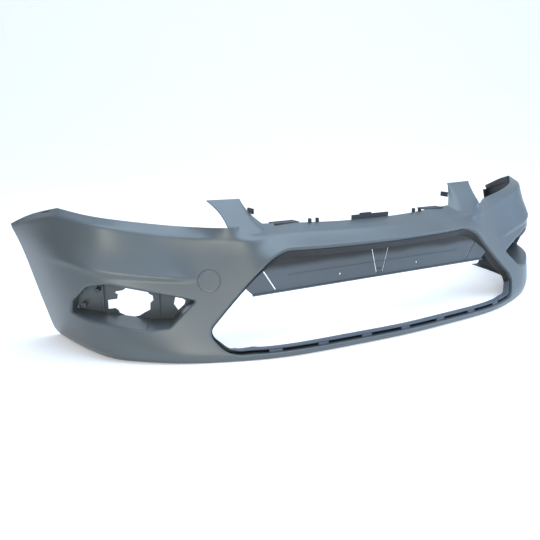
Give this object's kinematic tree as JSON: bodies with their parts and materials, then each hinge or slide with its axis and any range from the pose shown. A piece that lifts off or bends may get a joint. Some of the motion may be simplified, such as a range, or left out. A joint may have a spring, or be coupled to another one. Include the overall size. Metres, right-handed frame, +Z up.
{
  "type": "front bumper cover",
  "caption": "Front bumper cover with a wide grille opening, a number plate panel, fog lamp pockets and a pull-out tow eye cap.",
  "frame": {"origin": "on the floor under the middle of the bounding box", "axes": "+X across the car, +Y to the rear, +Z up; the cover faces -Y"},
  "size_m": [1.78, 0.5506, 0.3702],
  "materials": {
    "primer": "satin grey primer",
    "black_plastic": "raw moulded, fine grain",
    "zinc": "zinc plated"
  },
  "bodies": {
    "cover": {"bumper_skin": "primer", "number_plate_panel": "primer", "left_fog_pocket": "primer", "right_fog_pocket": "primer", "grille_frame": "black_plastic", "tow_eye_collar": "black_plastic", "middle_top_tab": "black_plastic", "left_top_tab": "black_plastic", "left_top_hooks": "black_plastic", "left_horn_clip": "black_plastic", "left_wing_rail": "black_plastic", "left_arch_flange": "black_plastic", "left_fog_lamp_nuts": "zinc", "left_liner_clips": "zinc", "right_top_tab": "black_plastic", "right_top_hooks": "black_plastic", "right_horn_clip": "black_plastic", "right_wing_rail": "black_plastic", "right_arch_flange": "black_plastic", "right_fog_lamp_nuts": "zinc", "right_liner_clips": "zinc", "undertray_clip_nuts": "zinc", "panel_clips": "black_plastic"},
    "tow_cap": {"tow_eye_cap": "primer"}
  },
  "joints": [
    {"name": "tow_cap_pull", "type": "slide", "parent": "cover", "child": "tow_cap", "axis": [-0.3274, -0.8529, 0.4067], "range_m": [0, 0.06]}
  ]
}
